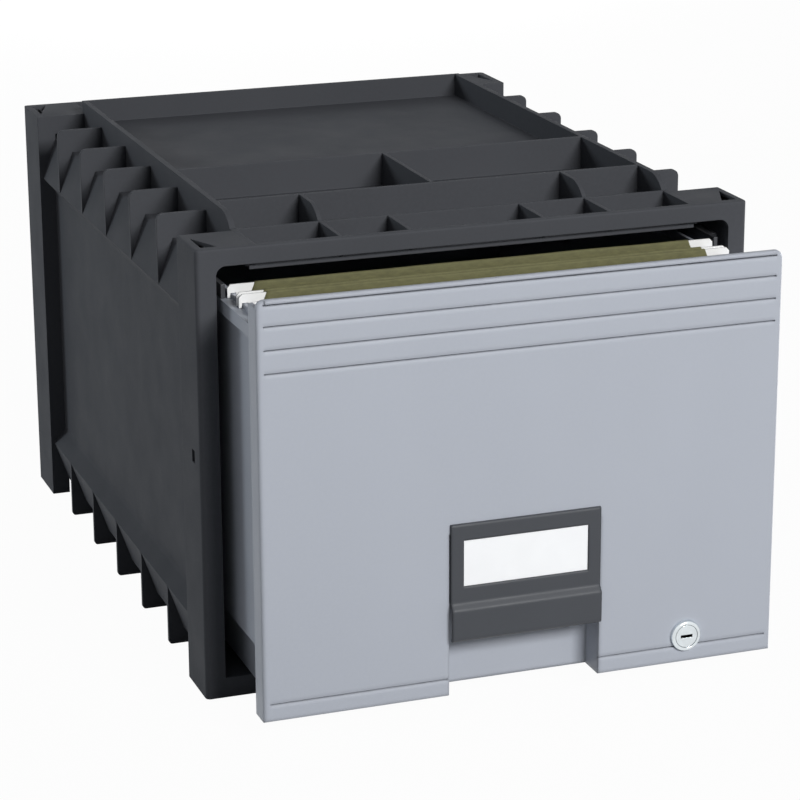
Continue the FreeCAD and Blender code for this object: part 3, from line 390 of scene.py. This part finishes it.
def wear_card(vert, low, high, crumple, phase):
    """One point of a folder, moved inwards by its bow and ripples and by a crumpled right corner."""
    x, y, z = vert.co
    rise = (z - low.z) / (high.z - low.z)
    inward = 1.0 if y < (low.y + high.y) / 2 else -1.0
    loose = math.sin(math.pi * min(1.0, rise))
    ripple = RIPPLE * noise.noise(Vector((x * 16.0 + phase, rise * 3.0, inward * 5.0)))
    handled = HANDLING * noise.noise(Vector((x * 45.0, rise * 9.0, phase + inward)))
    vert.co.y += inward * (BOW * loose ** 2 + max(0.0, ripple + handled) * loose)
    rim = 0.5 + noise.noise(Vector((x * 22.0, phase, inward)))
    vert.co.z -= RIM_WAVE * rim * rise ** 8
    reach = (Vector((x, 0.0, z)) - Vector((high.x, 0.0, high.z))).length
    near = max(0.0, 1.0 - reach / CRUMPLE_REACH) ** 1.5 * crumple
    crease = 0.3 + noise.noise(Vector((x * 150.0, inward * 2.0, z * 130.0 + phase)))
    vert.co.y += inward * near * CRUMPLE_DEPTH * crease
    vert.co.z -= near * CRUMPLE_DROP * crease


def hanging_folder(name, node, body, crumple, phase):
    """Dyed card hung from its two hems, bowed a little between them, with handled corners."""
    low, high = (Vector(corner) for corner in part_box(node))
    inset = CARD / 2
    line = card_line(low.y + inset + CARD_GAP, high.y - inset - CARD_GAP, low.z + inset, high.z - inset)
    bm = bmesh.new()
    swept(bm, line, low.x, high.x - low.x, CARD_STEPS)
    cut_corners(bm, low, high)
    for vert in bm.verts:
        wear_card(vert, low, high, crumple, phase)
    bmesh.ops.recalc_face_normals(bm, faces=bm.faces)
    smooth(bm)
    thicken(as_piece(name, bm, folder_card, node, body), CARD)


# ------------------------------------------------------------ papers

SHEET = 0.1 * MM
SHEET_COUNT = 20
SHEET_ROWS = 10
SHEET_STEPS = 16
SHEET_SHIFT = 1.5 * MM
SHEET_DROP = 2.5 * MM
SHEET_WAVE = 0.5 * MM
SHEAF_MARGIN = 0.6 * MM


def sheaf(name, node, body, phase):
    """Papers that stand in the fold, each sheet a little off its neighbours."""
    low, high = (Vector(corner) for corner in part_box(node))
    pitch = (high.y - low.y - 2.0 * SHEAF_MARGIN) / (SHEET_COUNT - 1)
    bm = bmesh.new()
    for index in range(SHEET_COUNT):
        shift = noise.noise(Vector((index * 3.7, phase, 0.5)))
        drop = SHEET_DROP * abs(noise.noise(Vector((phase, index * 5.3, 2.5))))
        left = low.x + SHEET_SHIFT * (1.0 + shift)
        right = high.x - SHEET_SHIFT * (1.0 - shift)
        y = low.y + SHEAF_MARGIN + pitch * index
        tall = high.z - drop - low.z
        line = [(y, low.z + tall * step / SHEET_ROWS) for step in range(SHEET_ROWS + 1)]
        before = len(bm.verts)
        swept(bm, line, left, right - left, SHEET_STEPS)
        bm.verts.ensure_lookup_table()
        for vert in bm.verts[before:]:
            rise = (vert.co.z - low.z) / tall
            vert.co.y += SHEET_WAVE * noise.noise(Vector((vert.co.x * 9.0, rise * 1.5, phase)))
    smooth(bm)
    thicken(as_piece(name, bm, sheets, node, body), SHEET)


# ------------------------------------------------------------ lock barrel

LOCK_FACE = 3.0 * MM
BORE = 6.5 * MM
SEAT = 7.5 * MM
SEAT_DEPTH = 1.3 * MM
SEAT_LIP = ((0.0, 0.25 * MM), (0.15 * MM, 0.08 * MM), (0.5 * MM, 0.0))
DOME = 1.6 * MM
COLLAR_CHAMFER = 0.2 * MM
SLEEVE = 8.6 * MM
SLEEVE_CHAMFER = 0.4 * MM
THREAD_PITCH = 1.0 * MM
THREAD_DEPTH = 0.5 * MM
TURNING_STEPS = 72
MERGE_GAP = 0.01 * MM


def barrel_line(collar, front, back):
    """The barrel's section as (radius, y) points: bore, seat, domed collar, threaded sleeve."""
    face = front + LOCK_FACE
    line = [(BORE, back), (BORE, front + SEAT_DEPTH), (SEAT, front + SEAT_DEPTH)]
    line += [(SEAT + out, front + depth) for out, depth in SEAT_LIP]
    line += [(collar - DOME * (1.0 - math.sin(angle)), front + DOME * (1.0 - math.cos(angle)))
             for angle in [math.pi / 2 * step / 6 for step in range(7)]]
    line += [(collar, face - COLLAR_CHAMFER), (collar - COLLAR_CHAMFER, face), (SLEEVE, face)]
    for turn in range(int((back - face) / THREAD_PITCH) - 1):
        start = face + THREAD_PITCH * (turn + 0.5)
        line += [(SLEEVE, start), (SLEEVE - THREAD_DEPTH, start + THREAD_PITCH * 0.4),
                 (SLEEVE, start + THREAD_PITCH * 0.8)]
    return line + [(SLEEVE, back - SLEEVE_CHAMFER), (SLEEVE - SLEEVE_CHAMFER, back)]


def lock_barrel():
    """The cam lock's barrel, turned: a domed collar with a seat for the plug, and a thread."""
    low, high = (Vector(corner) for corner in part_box("lock_housing"))
    centre = Vector(((low.x + high.x) / 2, 0.0, (low.z + high.z) / 2))
    line = barrel_line((high.x - low.x) / 2, low.y, high.y)
    bm = bmesh.new()
    ring = [bm.verts.new((centre.x + radius, y, centre.z)) for radius, y in line]
    edges = [bm.edges.new(pair) for pair in zip(ring, ring[1:] + ring[:1])]
    bmesh.ops.spin(bm, geom=ring + edges, cent=centre, axis=(0.0, 1.0, 0.0), steps=TURNING_STEPS,
                   angle=2.0 * math.pi, use_merge=True, dvec=(0.0, 0.0, 0.0))
    bmesh.ops.remove_doubles(bm, verts=bm.verts, dist=MERGE_GAP)
    bmesh.ops.recalc_face_normals(bm, faces=bm.faces)
    as_piece("lock_barrel", bm, chrome, "lock_housing", "drawer")


hanging_folder("front_folder_card", "front_folder", "front_file", crumple=1.0, phase=0.3)
hanging_folder("rear_folder_card", "rear_folder", "rear_file", crumple=0.15, phase=4.1)
sheaf("front_sheaf", "front_papers", "front_file", phase=1.7)
sheaf("rear_sheaf", "rear_papers", "rear_file", phase=6.2)
lock_barrel()


# ------------------------------------------------------------ floor, light and camera

FLOOR_REACH = 6.0
FLOOR_GAP = 0.4 * MM
FLOOR_GREY = (0.4, 0.4, 0.4, 1.0)
FLOOR_GLOW = 0.97
STUDIO_WHITE = (1.0, 1.0, 1.0, 1.0)
STUDIO_DIM = (0.09, 0.095, 0.105, 1.0)
DAYLIGHT = (0.88, 0.95, 1.0)
PLAIN = (1.0, 1.0, 1.0)


def studio_floor():
    """A wide pale sheet, white where the camera sees it and with a faint shadow under the part."""
    bm = bmesh.new()
    bmesh.ops.create_grid(bm, x_segments=1, y_segments=1, size=FLOOR_REACH)
    bmesh.ops.translate(bm, verts=bm.verts, vec=(0.0, 0.0, -FLOOR_GAP))
    mesh = bpy.data.meshes.new("floor")
    bm.to_mesh(mesh)
    bm.free()
    floor = bpy.data.objects.new("floor", mesh)
    bpy.context.scene.collection.objects.link(floor)
    g = Graph("floor_paper")
    g.look("Base Color", FLOOR_GREY)
    g.look("Roughness", 0.9)
    glow = g.node("ShaderNodeEmission")
    glow.inputs["Color"].default_value = STUDIO_WHITE
    path = g.node("ShaderNodeLightPath")
    seen = g.math("ADD", path.outputs["Is Camera Ray"], path.outputs["Is Glossy Ray"])
    seen = g.math("ADD", seen, path.outputs["Is Transmission Ray"])
    blend = g.node("ShaderNodeMixShader")
    g.put(blend.inputs[0], g.math("MULTIPLY", g.math("MINIMUM", seen, 1.0), FLOOR_GLOW))
    g.put(blend.inputs[1], g.shader.outputs[0])
    g.put(blend.inputs[2], glow.outputs[0])
    g.put(g.tree.nodes["Material Output"].inputs["Surface"], blend.outputs[0])
    mesh.materials.append(g.material)


def room():
    """A dim even surround for the light, which the camera and the gloss see as white."""
    world = bpy.data.worlds.new("studio")
    bpy.context.scene.world = world
    world.use_nodes = True
    tree = world.node_tree
    dim = tree.nodes["Background"]
    dim.inputs["Color"].default_value = STUDIO_DIM
    white = tree.nodes.new("ShaderNodeBackground")
    white.inputs["Color"].default_value = STUDIO_WHITE
    path = tree.nodes.new("ShaderNodeLightPath")
    blend = tree.nodes.new("ShaderNodeMixShader")
    seen = path.outputs["Is Camera Ray"]
    for kind in ("Is Glossy Ray", "Is Transmission Ray"):
        join = tree.nodes.new("ShaderNodeMath")
        join.operation = "ADD"
        join.use_clamp = True
        tree.links.new(seen, join.inputs[0])
        tree.links.new(path.outputs[kind], join.inputs[1])
        seen = join.outputs[0]
    tree.links.new(seen, blend.inputs[0])
    tree.links.new(dim.outputs[0], blend.inputs[1])
    tree.links.new(white.outputs[0], blend.inputs[2])
    tree.links.new(blend.outputs[0], tree.nodes["World Output"].inputs["Surface"])


def soft_light(name, place, aim, size, power, tint=PLAIN):
    lamp = bpy.data.lights.new(name, "AREA")
    lamp.shape = "RECTANGLE"
    lamp.size, lamp.size_y = size
    lamp.energy = power
    lamp.color = tint
    holder = bpy.data.objects.new(name, lamp)
    holder.location = place
    holder.rotation_euler = (Vector(aim) - Vector(place)).to_track_quat("-Z", "Y").to_euler()
    bpy.context.scene.collection.objects.link(holder)


def camera(place, turn, focal_length):
    lens = bpy.data.cameras.new("view")
    lens.sensor_width = 36.0
    lens.lens = focal_length
    lens.clip_end = 50.0
    holder = bpy.data.objects.new("view", lens)
    holder.location = place
    holder.rotation_euler = Euler([math.radians(angle) for angle in turn])
    bpy.context.scene.collection.objects.link(holder)
    bpy.context.scene.camera = holder


bpy.context.scene.view_settings.view_transform = "Standard"
studio_floor()
room()
soft_light("key", place=(0.6, -2.65, 1.65), aim=(0.0, -0.05, 0.15), size=(1.2, 0.7), power=87.0)
soft_light("left_back", place=(-1.9, 1.8, 1.0), aim=(-0.15, 0.05, 0.15), size=(0.6, 0.6),
           power=20.0, tint=DAYLIGHT)
soft_light("right", place=(2.4, 0.7, 0.14), aim=(0.18, 0.2, 0.14), size=(0.9, 0.26), power=30.0)
soft_light("back", place=(0.7, 2.8, 0.14), aim=(0.0, 0.45, 0.14), size=(0.9, 0.26), power=30.0)
camera(place=(-0.61567, -1.57062, 0.70244), turn=(72.6198, 0.2481, -19.8077),
       focal_length=128.298)
